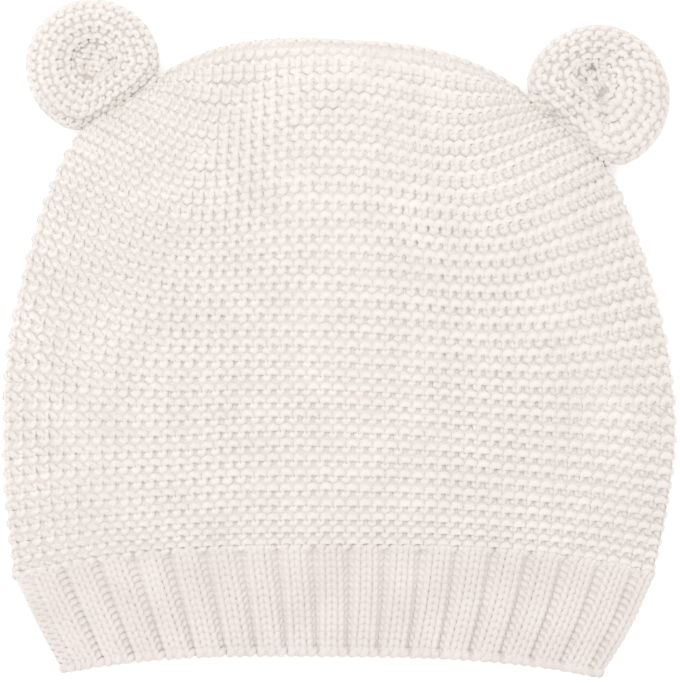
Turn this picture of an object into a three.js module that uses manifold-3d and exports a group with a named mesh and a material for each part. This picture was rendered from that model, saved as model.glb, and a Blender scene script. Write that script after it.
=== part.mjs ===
// Knitted baby hat with two round ears, lying flat on its back.
// Millimetres. +X is the wearer's left-to-right as seen from the front, +Y runs from hem to crown
// and +Z is up, away from the surface that the hat lies on.

import * as THREE from "three";
import { mergeVertices } from "three/addons/utils/BufferGeometryUtils.js";
import Module from "manifold-3d";

// Driving dimensions
const HAT_WIDTH = 180; // flat width across both folds, where the hat is widest
const CROWN_RISE = 135; // from the middle of the band's top up to the crown's top
const BAND_HEIGHT = 28.5; // ribbed band, measured at its middle
const BODY_THICKNESS = 22; // two layers and the air between them, at the fullest place
const WALL = 3; // one layer of the knitted fabric
const SEAM_GAP = 0.3; // clearance between pieces that are sewn or knitted together
const RIB_COUNT = 36; // ribs all round the band
const RIB_DEPTH = 1.2; // how far the purl troughs lie below the ribs
const RIDGE_COUNT = 33; // garter ridges from the band up to the crown's top
const RIDGE_DEPTH = 0.9; // how far the rows between two ridges lie below them
const TROUGH_FROM_FOLD = 4; // first trough on the front, inwards of the left fold
const LEFT_EAR_RADIUS = 18.1;
const RIGHT_EAR_RADIUS = 19.7;
const EAR_THICKNESS = 13.5; // rim of an ear, from the surface up
const EAR_STAND = 10.8; // from the crown's corner edge out to an ear's middle
const LEFT_EAR_LAP = 2.4; // how far the left ear's lower edge laps over the crown's edge
const RIGHT_EAR_LAP = 0.9;

// Shares that shape the lying pouch
const FOLD_LEVEL = 0.42; // height of the side folds, as a share of the local thickness
const FLAT_BACK = 0.74; // share of the half width over which the back lies flat
const FRONT_FULLNESS = 2.8; // exponent of the front's rise from a fold, larger is flatter
const ROW_ARCH = 3; // exponent of a knitted row's arch across the hat
const DIP_PLACE = 0.57; // where a row dips deepest, from the middle line to a fold
const CLOSING_START = 0.84; // share of the rows where the top starts to close
const CROWN_HALF_POINTS = 20; // points across one layer
const LEVELS_PER_RIDGE = 2; // a furrow and a crest
const INNER_CROWN_LEVELS = 14;
const CLEARANCE_LEVELS = 40; // levels of the filled crown that the ears are cut back by
const FINE_HALF_POINTS = 120; // points across one layer where a loop's length is measured
const LENGTHS_PER_POINT = 4; // samples of the length between two of those points
const ROUND = 2; // exponent that makes a swelling a quarter of an ellipse
const WELD_TOLERANCE = 1e-4;
const BAND_LEVELS = [0, 0.3, 0.65, 0.93, 1];
const INNER_BAND_LEVELS = [1, 0.5, 0];

// Rows of the crown, from the band (row 0) to the top seam (row 1).
// left and right are the folds, as shares of half the width out from the middle line;
// leftUp, rightUp and middleUp are heights as shares of the crown's rise, and leftDip and
// rightDip say how far the row dips between its middle and each fold, as shares of it too;
// full is the thickness as a share of the body's.
const CROWN_COLUMNS = "row left leftUp right rightUp middleUp leftDip rightDip full".split(" ");
const CROWN_ROWS = [
  [0.0, 0.97, -0.059, 0.935, -0.055, 0.0, 0.0, 0.0, 0.7],
  [0.08, 0.983, 0.016, 0.958, 0.011, 0.064, 0.005, 0.004, 0.84],
  [0.2, 0.998, 0.145, 0.985, 0.119, 0.178, 0.01, 0.005, 0.95],
  [0.3, 0.998, 0.266, 1.0, 0.22, 0.27, 0.014, 0.006, 1.0],
  [0.4, 0.986, 0.4, 0.988, 0.348, 0.358, 0.014, 0.008, 1.0],
  [0.5, 0.947, 0.528, 0.95, 0.478, 0.457, 0.017, 0.011, 1.0],
  [0.6, 0.897, 0.647, 0.891, 0.61, 0.56, 0.026, 0.018, 0.98],
  [0.7, 0.835, 0.755, 0.81, 0.736, 0.664, 0.037, 0.028, 0.93],
  [0.8, 0.743, 0.844, 0.69, 0.82, 0.78, 0.042, 0.032, 0.85],
  [0.9, 0.615, 0.898, 0.598, 0.871, 0.885, 0.034, 0.026, 0.76],
  [1.0, 0.516, 0.937, 0.539, 0.902, 1.0, 0.0, 0.0, 0.66],
].map((cells) => Object.fromEntries(CROWN_COLUMNS.map((name, i) => [name, cells[i]])));

// The band, from its top (down 0) to the hem (down 1). left and right are shares of half the
// width; drop is the fold's height below the middle, as a share of the band's height.
const BAND_ROWS = [
  { down: 0.0, left: 0.97, leftDrop: 0.281, right: 0.935, rightDrop: 0.262, full: 0.7 },
  { down: 0.5, left: 0.902, leftDrop: 0.222, right: 0.868, rightDrop: 0.235, full: 0.64 },
  { down: 1.0, left: 0.826, leftDrop: 0.162, right: 0.779, rightDrop: 0.206, full: 0.6 },
];

// One rib seen in section: phase runs from a trough to the next, depth is a share of RIB_DEPTH.
const RIB_PROFILE = [
  { phase: 0.0, depth: 1.0 },
  { phase: 0.17, depth: 0.2 },
  { phase: 0.5, depth: 0.0 },
  { phase: 0.83, depth: 0.2 },
];

// An ear in section, from its sunken middle over the front of the rim to the middle of its back.
// out is the share of the way from the gather to the ear's edge, up the share of its thickness.
const EAR_PROFILE = [
  { out: 0.1, up: 0.48 },
  { out: 0.2, up: 0.6 },
  { out: 0.32, up: 0.8 },
  { out: 0.46, up: 0.94 },
  { out: 0.6, up: 1.0 },
  { out: 0.74, up: 0.98 },
  { out: 0.87, up: 0.89 },
  { out: 0.96, up: 0.73 },
  { out: 1.0, up: 0.52 },
  { out: 0.97, up: 0.27 },
  { out: 0.9, up: 0.09 },
  { out: 0.78, up: 0.0 },
  { out: 0.4, up: 0.0 },
];
const EAR_MIDDLE_UP = 0.4;
const EAR_LOWEST_UP = 0.2; // no crease goes deeper
const EAR_STEPS = 36;
const EAR_CORNER = 9; // larger gives the ear's base a sharper corner
const EAR_BASE_START = 0.735; // row at which the crown's corner edge begins, up to the last row

// Where each ear is gathered and how it is creased. station is the row whose end carries the ear;
// outwards and sideways place the gather as shares of the ear's radius; a crease has its turn in
// degrees from the ear's outward direction, its reach and its depth as shares.
const EARS = [
  {
    name: "ear_left",
    side: "left",
    station: 0.867,
    radius: LEFT_EAR_RADIUS,
    lap: LEFT_EAR_LAP,
    outwards: 0.05,
    sideways: -0.08,
    creases: [
      { turn: -150, reach: 0.55, depth: 0.26, spread: 15 },
      { turn: 65, reach: 0.5, depth: 0.18, spread: 16 },
      { turn: -10, reach: 0.4, depth: 0.14, spread: 16 },
    ],
  },
  {
    name: "ear_right",
    side: "right",
    station: 0.806,
    radius: RIGHT_EAR_RADIUS,
    lap: RIGHT_EAR_LAP,
    outwards: 0.17,
    sideways: 0.27,
    creases: [
      { turn: -161, reach: 0.72, depth: 0.24, spread: 12 },
      { turn: -122, reach: 0.78, depth: 0.22, spread: 12 },
      { turn: 10, reach: 0.35, depth: 0.12, spread: 18 },
    ],
  },
];

const FABRIC_COLOUR = 0xeee6df;
const BAND_COLOUR = 0xebe2dc;
const FABRIC_ROUGHNESS = 0.95;

const half = HAT_WIDTH / 2;

// Value of a table's column at a position, on a smooth curve through the table's rows.
function column(table, key, name, at) {
  const last = table.length - 1;
  let index = table.findIndex((entry, i) => i < last && at <= table[i + 1][key]);
  if (index < 0) {
    index = last - 1;
  }
  const here = table[index];
  const next = table[index + 1];
  const before = table[Math.max(index - 1, 0)];
  const after = table[Math.min(index + 2, last)];
  const span = next[key] - here[key];
  const t = (at - here[key]) / span;
  const startSlope = ((next[name] - before[name]) / (next[key] - before[key])) * span;
  const endSlope = ((after[name] - here[name]) / (after[key] - here[key])) * span;
  const rise = next[name] - here[name];
  const curve = startSlope + endSlope - 2 * rise;
  return here[name] + t * (startSlope + t * (3 * rise - 2 * startSlope - endSlope + t * curve));
}

// How much of a row's dip is reached: none in the middle and at the folds, all of it at DIP_PLACE.
function dipShare(across) {
  const place = Math.pow(Math.abs(across), Math.log(0.5) / Math.log(DIP_PLACE));
  return Math.pow(Math.sin(Math.PI * place), 2);
}

// Share of a swelling that is reached at a distance from its rim, as on a quarter of an ellipse.
function roundOff(share, exponent) {
  return Math.sqrt(Math.max(0, 1 - Math.pow(Math.min(Math.abs(share), 1), exponent)));
}

// A point of one knitted row. across runs from -1 at the left fold to 1 at the right fold.
// row has the folds' places, the middle's height, the dips and the local thickness; inset moves
// the surface into the fabric; closing falls to 0 where the two layers meet.
function pouchPoint(row, across, isFront, inset, closing) {
  const left = -row.left * half + inset;
  const right = row.right * half - inset;
  const x = (left + right) / 2 + (across * (right - left)) / 2;
  const foldsLevel = (row.leftY + row.rightY) / 2;
  const tilt = (row.rightY - row.leftY) / 2;
  const arch = (row.middleY - foldsLevel) * (1 - Math.pow(Math.abs(across), ROW_ARCH));
  const dip = (across < 0 ? row.leftDip : row.rightDip) * dipShare(across);
  const y = foldsLevel + tilt * across + arch - dip;
  const fold = FOLD_LEVEL * row.thickness;
  if (isFront) {
    const lift = row.thickness - inset - fold;
    return new THREE.Vector3(x, y, fold + lift * roundOff(across, FRONT_FULLNESS) * closing);
  }
  const beyondFlat = Math.max(0, (Math.abs(across) - FLAT_BACK) / (1 - FLAT_BACK));
  return new THREE.Vector3(x, y, fold - (fold - inset) * roundOff(beyondFlat, ROUND) * closing);
}

// The values of one row of the crown; inset lowers the top, so that the seam has its wall.
function crownRow(row, inset) {
  const at = (name) => column(CROWN_ROWS, "row", name, row);
  const lowered = 1 - inset / CROWN_RISE;
  return {
    left: at("left"),
    right: at("right"),
    leftY: at("leftUp") * CROWN_RISE * lowered,
    rightY: at("rightUp") * CROWN_RISE * lowered,
    middleY: at("middleUp") * CROWN_RISE * lowered,
    leftDip: at("leftDip") * CROWN_RISE,
    rightDip: at("rightDip") * CROWN_RISE,
    thickness: at("full") * BODY_THICKNESS,
  };
}

function crownClosing(row) {
  return roundOff(Math.max(0, (row - CLOSING_START) / (1 - CLOSING_START)), ROUND);
}

// The values of one row of the band. The band starts a seam's gap below the crown.
function bandRow(down) {
  const at = (name) => column(BAND_ROWS, "down", name, down);
  const middleY = -SEAM_GAP - down * BAND_HEIGHT;
  return {
    left: at("left"),
    right: at("right"),
    leftY: middleY - at("leftDrop") * BAND_HEIGHT,
    rightY: middleY - at("rightDrop") * BAND_HEIGHT,
    middleY,
    leftDip: 0,
    rightDip: 0,
    thickness: at("full") * BODY_THICKNESS,
  };
}

// A closed loop round the pouch: over the front from the left fold to the right one, and back.
// furrow sinks the loop further, except where the back is pressed flat by the hat's weight.
function loopOf(row, inset, closing, halfPoints, furrow = 0) {
  const loop = [];
  for (let i = 0; i < 2 * halfPoints; i += 1) {
    const isFront = i <= halfPoints;
    const step = isFront ? i : 2 * halfPoints - i;
    const across = -Math.cos((Math.PI * step) / halfPoints);
    const isPressed = !isFront && Math.abs(across) < FLAT_BACK;
    loop.push(pouchPoint(row, across, isFront, inset + (isPressed ? 0 : furrow), closing));
  }
  return loop;
}

// Joins loops of equal length into a skin, each with the next. A closed skin also joins the last
// loop with the first.
function joinLoops(loops, positions, indices, isClosed = false) {
  const count = loops[0].length;
  const first = positions.length / 3;
  for (const loop of loops) {
    for (const point of loop) {
      positions.push(point.x, point.y, point.z);
    }
  }
  const bands = isClosed ? loops.length : loops.length - 1;
  for (let k = 0; k < bands; k += 1) {
    for (let i = 0; i < count; i += 1) {
      const a = first + k * count + i;
      const b = first + k * count + ((i + 1) % count);
      const c = first + ((k + 1) % loops.length) * count + i;
      const d = first + ((k + 1) % loops.length) * count + ((i + 1) % count);
      indices.push(a, b, c, b, d, c);
    }
  }
}

// Closes a loop with a fan of triangles round one point.
function capLoop(first, count, point, positions, indices, isLast) {
  const middle = positions.length / 3;
  positions.push(point.x, point.y, point.z);
  for (let i = 0; i < count; i += 1) {
    const a = first + i;
    const b = first + ((i + 1) % count);
    if (isLast) {
      indices.push(a, b, middle);
    } else {
      indices.push(b, a, middle);
    }
  }
}

function toGeometry(positions, indices) {
  const geometry = new THREE.BufferGeometry();
  geometry.setAttribute("position", new THREE.Float32BufferAttribute(positions, 3));
  geometry.setIndex(indices);
  return mergeVertices(geometry, WELD_TOLERANCE);
}

// Smooth loops of the crown, closer together towards the top, where the layers meet.
function smoothCrownLoops(inset, levels) {
  const loops = [];
  for (let k = 0; k <= levels; k += 1) {
    const row = Math.sin(((Math.PI / 2) * k) / levels);
    loops.push(loopOf(crownRow(row, inset), inset, crownClosing(row), CROWN_HALF_POINTS));
  }
  return loops;
}

// The outer loops of the crown: furrow and crest in turn, from the furrow where the band is knitted
// on to the crest at the seam.
function ridgedCrownLoops() {
  const loops = [];
  const steps = RIDGE_COUNT * LEVELS_PER_RIDGE - 1;
  for (let k = 0; k <= steps; k += 1) {
    const row = k / steps;
    const isFurrow = (steps - k) % LEVELS_PER_RIDGE > 0;
    const furrow = isFurrow ? RIDGE_DEPTH : 0;
    loops.push(loopOf(crownRow(row, 0), 0, crownClosing(row), CROWN_HALF_POINTS, furrow));
  }
  return loops;
}

// The crown's wall: its outer skin up to the top seam, its inner skin, and the edge that the
// band is knitted to. At the seam the front and the back of each skin meet.
function crownGeometry() {
  const positions = [];
  const indices = [];
  const outer = ridgedCrownLoops();
  const inner = smoothCrownLoops(WALL, INNER_CROWN_LEVELS);
  joinLoops(outer, positions, indices);
  joinLoops([inner[0], outer[0]], positions, indices);
  joinLoops(inner.reverse(), positions, indices);
  return toGeometry(positions, indices);
}

// The space that the crown takes with its clearance, filled, for cutting what sits on it.
function crownSpace() {
  const positions = [];
  const indices = [];
  const loops = smoothCrownLoops(-SEAM_GAP, CLEARANCE_LEVELS);
  joinLoops(loops, positions, indices);
  const middle = new THREE.Vector3();
  for (const point of loops[0]) {
    middle.addScaledVector(point, 1 / loops[0].length);
  }
  capLoop(0, loops[0].length, middle, positions, indices, false);
  return toGeometry(positions, indices);
}

// The outer loop of the band at one height, with its ribs: equal steps along a fine smooth loop,
// each point moved inwards by the rib's depth there.
function ribbedLoop(down) {
  const fine = loopOf(bandRow(down), 0, 1, FINE_HALF_POINTS);
  const curve = new THREE.CatmullRomCurve3(fine, true);
  curve.arcLengthDivisions = fine.length * LENGTHS_PER_POINT;
  const start = TROUGH_FROM_FOLD / curve.getLength();
  const loop = [];
  for (let rib = 0; rib < RIB_COUNT; rib += 1) {
    for (const { phase, depth } of RIB_PROFILE) {
      const at = (start + (rib + phase) / RIB_COUNT) % 1;
      const point = curve.getPointAt(at);
      const tangent = curve.getTangentAt(at);
      const inwards = new THREE.Vector3(tangent.z, 0, -tangent.x).normalize();
      loop.push(point.addScaledVector(inwards, depth * RIB_DEPTH));
    }
  }
  return loop;
}

// The inner loop of the band at one height: each point lies under one of the outer loop.
function liningLoop(down) {
  const row = bandRow(down);
  const outer = new THREE.CatmullRomCurve3(loopOf(row, 0, 1, FINE_HALF_POINTS), true);
  const inner = loopOf(row, WALL, 1, FINE_HALF_POINTS);
  const innerCurve = new THREE.CatmullRomCurve3(inner, true);
  const start = TROUGH_FROM_FOLD / outer.getLength();
  const loop = [];
  for (let rib = 0; rib < RIB_COUNT; rib += 1) {
    for (const { phase } of RIB_PROFILE) {
      loop.push(innerCurve.getPointAt((start + (rib + phase) / RIB_COUNT) % 1));
    }
  }
  return loop;
}

function bandGeometry() {
  const positions = [];
  const indices = [];
  const outer = BAND_LEVELS.map(ribbedLoop).reverse();
  const inner = INNER_BAND_LEVELS.map(liningLoop).reverse();
  joinLoops([...outer, ...inner], positions, indices, true);
  return toGeometry(positions, indices);
}

// The place and direction in which an ear stands off the crown's corner edge.
function earSeat(ear) {
  const pointAt = (row) => {
    const { left, right, leftY, rightY } = crownRow(row, 0);
    return ear.side === "left"
      ? new THREE.Vector2(-left * half, leftY)
      : new THREE.Vector2(right * half, rightY);
  };
  const along = pointAt(1).sub(pointAt(EAR_BASE_START)).normalize();
  const away = new THREE.Vector2(-along.y, along.x);
  if (ear.side === "right") {
    away.negate();
  }
  return { away, base: pointAt(ear.station) };
}

// An ear as a solid of rings round its gather, flattened where it meets the crown.
function earGeometry(ear) {
  const { away, base } = earSeat(ear);
  const sideways = new THREE.Vector2(-away.y, away.x);
  const centre = base.clone().addScaledVector(away, EAR_STAND);
  const gather = centre.clone();
  gather.addScaledVector(away, ear.outwards * ear.radius);
  gather.addScaledVector(sideways, ear.sideways * ear.radius);
  const edgeAt = (turn) => {
    const towardsBase = -Math.cos(turn);
    const limit = towardsBase > 0 ? (EAR_STAND + ear.lap) / towardsBase : Infinity;
    const inverse = Math.pow(ear.radius, -EAR_CORNER) + Math.pow(limit, -EAR_CORNER);
    const reach = Math.pow(inverse, -1 / EAR_CORNER);
    const edge = centre.clone().addScaledVector(away, reach * Math.cos(turn));
    return edge.addScaledVector(sideways, reach * Math.sin(turn));
  };
  const creaseAt = (turn, out) => {
    let depth = 0;
    for (const crease of ear.creases) {
      const off = Math.atan2(
        Math.sin(turn - THREE.MathUtils.degToRad(crease.turn)),
        Math.cos(turn - THREE.MathUtils.degToRad(crease.turn)),
      );
      const across = off / THREE.MathUtils.degToRad(crease.spread);
      const along = Math.max(0, 1 - Math.pow(out / crease.reach, 2));
      depth += crease.depth * Math.exp(-across * across) * along;
    }
    return depth;
  };
  const loops = EAR_PROFILE.map(({ out, up }, k) => {
    const isFront = k < EAR_PROFILE.findIndex((entry) => entry.out === 1);
    const loop = [];
    for (let i = 0; i < EAR_STEPS; i += 1) {
      const turn = (-2 * Math.PI * i) / EAR_STEPS;
      const plan = gather.clone().lerp(edgeAt(turn), out);
      const rise = isFront ? Math.max(up - creaseAt(turn, out), EAR_LOWEST_UP) : up;
      loop.push(new THREE.Vector3(plan.x, plan.y, rise * EAR_THICKNESS));
    }
    return loop;
  });
  const positions = [];
  const indices = [];
  joinLoops(loops, positions, indices);
  const lastFirst = (loops.length - 1) * EAR_STEPS;
  const top = new THREE.Vector3(gather.x, gather.y, EAR_MIDDLE_UP * EAR_THICKNESS);
  const bottom = new THREE.Vector3(gather.x, gather.y, 0);
  capLoop(0, EAR_STEPS, top, positions, indices, false);
  capLoop(lastFirst, EAR_STEPS, bottom, positions, indices, true);
  return toGeometry(positions, indices);
}

const wasm = await Module();
wasm.setup();

function toSolid(geometry) {
  const bare = new THREE.BufferGeometry();
  bare.setAttribute("position", geometry.getAttribute("position"));
  bare.setIndex(geometry.index);
  const merged = mergeVertices(bare, WELD_TOLERANCE);
  return new wasm.Manifold(
    new wasm.Mesh({
      numProp: 3,
      vertProperties: Float32Array.from(merged.getAttribute("position").array),
      triVerts: Uint32Array.from(merged.index.array),
    }),
  );
}

function fromSolid(solid) {
  const mesh = solid.getMesh();
  const geometry = new THREE.BufferGeometry();
  geometry.setAttribute("position", new THREE.BufferAttribute(mesh.vertProperties, 3));
  geometry.setIndex(new THREE.BufferAttribute(mesh.triVerts, 1));
  return geometry;
}

function piece(name, geometry, colour) {
  const material = new THREE.MeshStandardMaterial({
    color: colour,
    roughness: FABRIC_ROUGHNESS,
    metalness: 0,
  });
  geometry.computeVertexNormals();
  const mesh = new THREE.Mesh(geometry, material);
  mesh.name = name;
  return mesh;
}

const hat = new THREE.Group();
hat.add(piece("crown", crownGeometry(), FABRIC_COLOUR));
hat.add(piece("rib_band", bandGeometry(), BAND_COLOUR));
const space = toSolid(crownSpace());
for (const ear of EARS) {
  const solid = toSolid(earGeometry(ear)).subtract(space);
  hat.add(piece(ear.name, fromSolid(solid), FABRIC_COLOUR));
}

// The origin is under the middle of the hat, on the surface that it lies on.
const bounds = new THREE.Box3().setFromObject(hat, true);
const centre = bounds.getCenter(new THREE.Vector3());
hat.position.set(-centre.x, -centre.y, -bounds.min.z);
hat.updateMatrixWorld(true);

export default hat;
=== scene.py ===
"""A knitted baby hat with two round ears, lying flat on its back on a pale floor.

The crown is garter stitch: every ridge is one yarn that waves round the whole hat, over a closed
backing cloth on the same pouch. The band is a two-by-one rib of single stitches, between a cast-on
edge and the round that joins it to the crown. Each ear is rings of the same garter yarn round a
gathered middle. Lengths are metres.
"""

import bpy
import numpy as np
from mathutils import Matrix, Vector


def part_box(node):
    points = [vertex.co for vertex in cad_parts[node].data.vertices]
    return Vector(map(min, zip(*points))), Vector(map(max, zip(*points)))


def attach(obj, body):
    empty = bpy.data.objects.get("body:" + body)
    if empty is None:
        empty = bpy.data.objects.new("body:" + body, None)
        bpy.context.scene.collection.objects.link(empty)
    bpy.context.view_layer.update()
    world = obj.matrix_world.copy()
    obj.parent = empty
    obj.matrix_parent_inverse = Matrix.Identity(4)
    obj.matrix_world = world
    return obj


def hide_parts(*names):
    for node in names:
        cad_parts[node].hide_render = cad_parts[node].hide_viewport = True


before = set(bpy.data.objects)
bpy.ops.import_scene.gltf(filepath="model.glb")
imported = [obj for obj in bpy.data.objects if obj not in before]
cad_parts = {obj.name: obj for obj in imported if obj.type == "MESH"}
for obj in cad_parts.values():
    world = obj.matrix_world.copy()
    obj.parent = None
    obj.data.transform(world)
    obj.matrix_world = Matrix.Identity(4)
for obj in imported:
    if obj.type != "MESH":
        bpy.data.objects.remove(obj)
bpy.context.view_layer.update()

SCENE = bpy.context.scene

# Sizes of the hat
HAT_WIDTH = 0.180
HALF = HAT_WIDTH / 2
CROWN_RISE = 0.135
BAND_HEIGHT = 0.0285
BODY_THICKNESS = 0.022
WALL = 0.003
SEAM_GAP = 0.0003
RIB_COUNT = 36
RIB_DEPTH = 0.0012
RIDGE_COUNT = 33
TROUGH_FROM_FOLD = 0.004
EAR_RADIUS = {"ear_left": 0.0181, "ear_right": 0.0197}
EAR_LAP = {"ear_left": 0.0024, "ear_right": 0.0009}
EAR_THICKNESS = 0.0135
EAR_STAND = 0.0108

# Shares that shape the lying pouch and the ears
FOLD_LEVEL = 0.42  # height of the folds, of the thickness
FLAT_BACK = 0.74  # of the back that lies flat on the floor
FRONT_FULLNESS = 2.8  # exponent of the front's swelling
ROUND = 2  # exponent of a circle
ROW_ARCH = 3  # exponent of a row's rise to its middle
DIP_PLACE = 0.57  # where a row dips most, between the middle and a fold
CLOSING_START = 0.84  # row from which the crown closes
EAR_CORNER = 9  # exponent of an ear's corners at its cut side
EAR_BASE_START = 0.735  # row at which an ear's cut side starts
EAR_LOWEST_UP = 0.2  # of an ear's thickness that its dents leave
FACE_END = 0.65  # where an ear's edge is, along its section

# The yarn
YARN = 0.00098  # half its depth
YARN_WIDENING = 1.14  # it is pressed flat: its width over its depth
YARN_SIDES = 6  # corners of its section
INNER_SHARE = 0.55  # of a bend's radius, which a yarn fills before it is pressed
INNER_GIVE = 0.3  # how much more it fills at most
BELOW = 0.0005  # depth under a path of the points that give its outward direction
BESIDE = 0.01  # how far beside it others lie, along the rows or the ear's section

# The garter stitch
STITCHES_ACROSS = 51  # of one face of the crown
STITCH = HAT_WIDTH / STITCHES_ACROSS
STITCH_POINTS = 12  # of a yarn's path in each stitch
BACK_POINTS = 8  # the same on the crown's back
RIDGE_STEP = 1 / (RIDGE_COUNT - 0.5)  # one ridge, as a share of the crown's rows
RIDGE_MIDDLE = 0.27  # of a ridge, from its start to its yarn
BOW_HEIGHT = 0.26  # of a garter yarn's bows, as a share of a ridge, to each side
BOW_POWER = 0.9
BOW_GROWTH = 0.4  # of the bows where the ridges lie spread apart
OVERHANG = 1.7  # its hurry over both bows; above 1 it turns back between them
UPPER_BOWS = 0.6  # how much faster over the upper ones
FOOT_DEPTH = 0.0010  # how far the yarn sinks between two bows
FOOT_NARROWING = 0.3  # of the yarn between two bows
ROW_FILLED = 0.0036  # height of a garter ridge that the plain yarn fills
SWELLING = (0.85, 1.5)  # least and most widening of the yarn in ridges of other heights
TOP_EDGE_TURN = 9  # degrees that the top seam's yarn winds to the front and back
TOP_EDGE_STITCHES = 30
TOP_EDGE_REACH = 0.99  # of the way from the middle to the folds
UNEVEN = dict(bows=0.16, rows=0.04, places=0.05, radius=0.07)  # shares of chance in the knitting

# The cloth under the yarns
GROUND_DEPTH = 0.0012  # below the crests
GROUND_WAVE = 0.00025  # this much deeper under the holes, and shallower between them
HOLE_LEVEL = 0.17  # of a ridge, from its start to the holes
BAND_GROUND = (0.00115, 0.0001)  # its depth in the band, and its rise under the troughs

# The band
BAND_ROUNDS = 15  # rows of knitting
RIB_STITCHES = 3  # two knit and one purl
WALES = (0.31, 0.69)  # the two columns of knit stitches of a rib, as phases of it
FOLD_FURROW = (0.2, 0.4)  # two more columns of purl stitches round the left fold, in ribs
CAST_ON = (0.5, 0.0012)  # the edge's rows above the hem and its depth
JOINING = (15.2, 0.0014)  # the same for the round that meets the crown

# The ears' knitting
EAR_FOOT_DEPTH = 0.0005  # how far the yarn sinks between two bows
EAR_GROUND_RISE = 0.0004  # an ear's cloth lies this much nearer to the crests
EAR_GROUND_FILLED = 0.0007  # and this much more at the gather
EAR_MIDDLE = 0.0054  # radius of the gathered patch of rows in an ear's middle
EAR_FIRST_RING = 0.0070  # from an ear's middle to its first ring
EAR_LAST_RING = 0.93  # along the section
SUNKEN_REACH = 0.5  # of the way to the edge, from the gather


def table(names, rows):
    """A table of numbers as one array for each named column."""
    return dict(zip(names.split(), np.array(rows, float).T))


# Rows of the crown from the band (row 0) to the top seam (row 1). left and right are the folds as
# shares of half the width, the heights and dips are shares of the crown's rise, and full is the
# thickness as a share of the body's.
CROWN = table(
    "row left leftUp right rightUp middleUp leftDip rightDip full",
    [
        [0.0, 0.97, -0.059, 0.935, -0.055, 0.0, 0.0, 0.0, 0.7],
        [0.08, 0.983, 0.016, 0.958, 0.011, 0.064, 0.005, 0.004, 0.84],
        [0.2, 0.998, 0.145, 0.985, 0.119, 0.178, 0.01, 0.005, 0.95],
        [0.3, 0.998, 0.266, 1.0, 0.22, 0.27, 0.014, 0.006, 1.0],
        [0.4, 0.986, 0.4, 0.988, 0.348, 0.358, 0.014, 0.008, 1.0],
        [0.5, 0.947, 0.528, 0.95, 0.478, 0.457, 0.017, 0.011, 1.0],
        [0.6, 0.897, 0.647, 0.891, 0.61, 0.56, 0.026, 0.018, 0.98],
        [0.7, 0.835, 0.755, 0.81, 0.736, 0.664, 0.037, 0.028, 0.93],
        [0.8, 0.743, 0.844, 0.69, 0.82, 0.78, 0.042, 0.032, 0.85],
        [0.9, 0.615, 0.898, 0.598, 0.871, 0.885, 0.034, 0.026, 0.76],
        [1.0, 0.516, 0.937, 0.539, 0.902, 1.0, 0.0, 0.0, 0.66],
    ],
)

# The band from its top (down 0) to the hem (down 1); a drop is a share of the band's height.
BAND = table(
    "down left leftDrop right rightDrop full",
    [
        [0.0, 0.97, 0.281, 0.935, 0.262, 0.7],
        [0.5, 0.902, 0.222, 0.868, 0.235, 0.64],
        [1.0, 0.826, 0.162, 0.779, 0.206, 0.6],
    ],
)

# One rib in section, from trough to trough; depth is a share of RIB_DEPTH.
RIB = table("phase depth", [[0, 1], [0.17, 0.2], [0.5, 0], [0.83, 0.2], [1, 1]])

# An ear in section from its sunken middle over the rim to the middle of its back. along is the
# share of the way, out the share of the way from the gather to the edge, up that of the thickness.
EAR = table(
    "along out up",
    [
        [0.0, 0.02, 0.4], [0.07, 0.1, 0.48], [0.14, 0.2, 0.6], [0.22, 0.32, 0.8], [0.3, 0.46, 0.94],
        [0.38, 0.6, 1.0], [0.45, 0.74, 0.98], [0.52, 0.87, 0.89], [0.58, 0.96, 0.73], [0.65, 1.0, 0.52],
        [0.73, 0.97, 0.27], [0.8, 0.9, 0.09], [0.86, 0.78, 0.0], [0.94, 0.4, 0.0], [1.0, 0.02, 0.0],
    ],
)

# Where each ear stands, where it is gathered and how it is knitted. station is the crown's row that
# carries it; outwards and sideways place the gather as shares of the radius; stitch is the length of
# a stitch, ring the way to the next ring, and rows the angle in radians of the rows in its middle.
EARS = {
    "ear_left": dict(
        side=-1, station=0.867, outwards=0.05, sideways=-0.08, stitch=0.0027, ring=0.0034, rows=0.7
    ),
    "ear_right": dict(
        side=1, station=0.806, outwards=0.17, sideways=0.27, stitch=0.0032, ring=0.0038, rows=1.2
    ),
}

# Creases that run out from the gather: their angle in degrees, how far out they reach, their depth
# in shares of the ear's thickness, and their half width in degrees.
CREASES = {
    "ear_left": [(-150, 0.55, 0.26, 15), (65, 0.5, 0.18, 16), (-10, 0.4, 0.14, 16)],
    "ear_right": [(-161, 0.72, 0.24, 12), (-122, 0.78, 0.22, 12), (10, 0.35, 0.12, 18)],
}

# Grooves of the gathered middles: lines of points on the page from the ear's centre, to the right
# and upwards, as shares of its radius, each with a depth in shares of the ear's thickness.
GROOVES = {
    "ear_left": [
        (0.09, [(-0.06, 0.37), (-0.19, 0.24), (-0.31, 0.06)]),
        (0.08, [(-0.06, 0.37), (0.02, 0.16), (-0.1, -0.1)]),
        (0.11, [(-0.12, -0.1), (0.1, -0.12), (0.3, -0.06)]),
        (0.16, [(0.3, -0.06), (0.27, 0.02)]),
    ],
    "ear_right": [
        (0.12, [(-0.03, 0.38), (-0.14, 0.23), (-0.26, 0.04), (-0.28, -0.18)]),
        (0.11, [(-0.03, 0.38), (0.03, 0.15), (0.07, -0.14), (0.11, -0.35), (0.08, -0.57)]),
        (0.09, [(-0.6, -0.24), (-0.32, -0.26), (-0.14, -0.34)]),
    ],
}
CREASE_SHARE = 0.45  # of the creases' depth that shows beside the grooves
GROOVE_WIDTH = 0.08  # of an ear's radius
MIDDLE_RISE = 0.3  # how far the gathered yarn fills the sunken middle

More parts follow.
